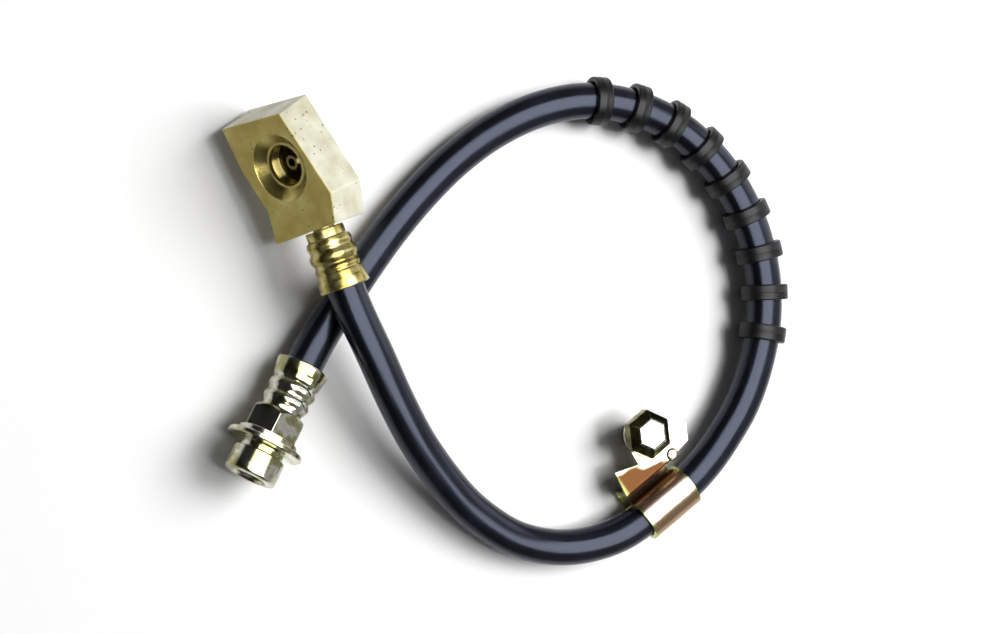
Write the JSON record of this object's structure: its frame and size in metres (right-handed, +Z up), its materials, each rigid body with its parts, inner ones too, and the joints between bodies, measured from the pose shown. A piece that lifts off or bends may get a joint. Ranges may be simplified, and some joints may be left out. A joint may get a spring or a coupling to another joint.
{
  "type": "automotive brake hose",
  "caption": "Rubber brake hose laid in a loop, with guard rings, a bolted clamp, a brass junction block on one end and a steel female fitting on the other.",
  "frame": {"origin": "middle of the bounding box, at the surface that the hose lies on", "axes": "+Z up, away from that surface; +X across the loop, from the end fittings towards the guard rings; +Y along the surface, from the clamp's side of the loop towards the junction block"},
  "size_m": [0.1715, 0.1413, 0.0323],
  "materials": {
    "hose_rubber": "satin",
    "ring_rubber": "matte",
    "sawn_brass": "sawn and pitted",
    "bright_brass": "bright",
    "plated_steel": "bright plated",
    "chromate_steel": "yellow chromate"
  },
  "bodies": {
    "root": {"hose": "hose_rubber", "guard_ring_1": "ring_rubber", "guard_ring_2": "ring_rubber", "guard_ring_3": "ring_rubber", "guard_ring_4": "ring_rubber", "guard_ring_5": "ring_rubber", "guard_ring_6": "ring_rubber", "guard_ring_7": "ring_rubber", "guard_ring_8": "ring_rubber", "guard_ring_9": "ring_rubber", "junction_block": "sawn_brass", "block_insert": "bright_brass", "block_ferrule": "bright_brass", "steel_fitting": "plated_steel", "steel_ferrule": "plated_steel", "clamp_bracket": "chromate_steel", "clamp_bolt": "plated_steel"}
  },
  "joints": []
}
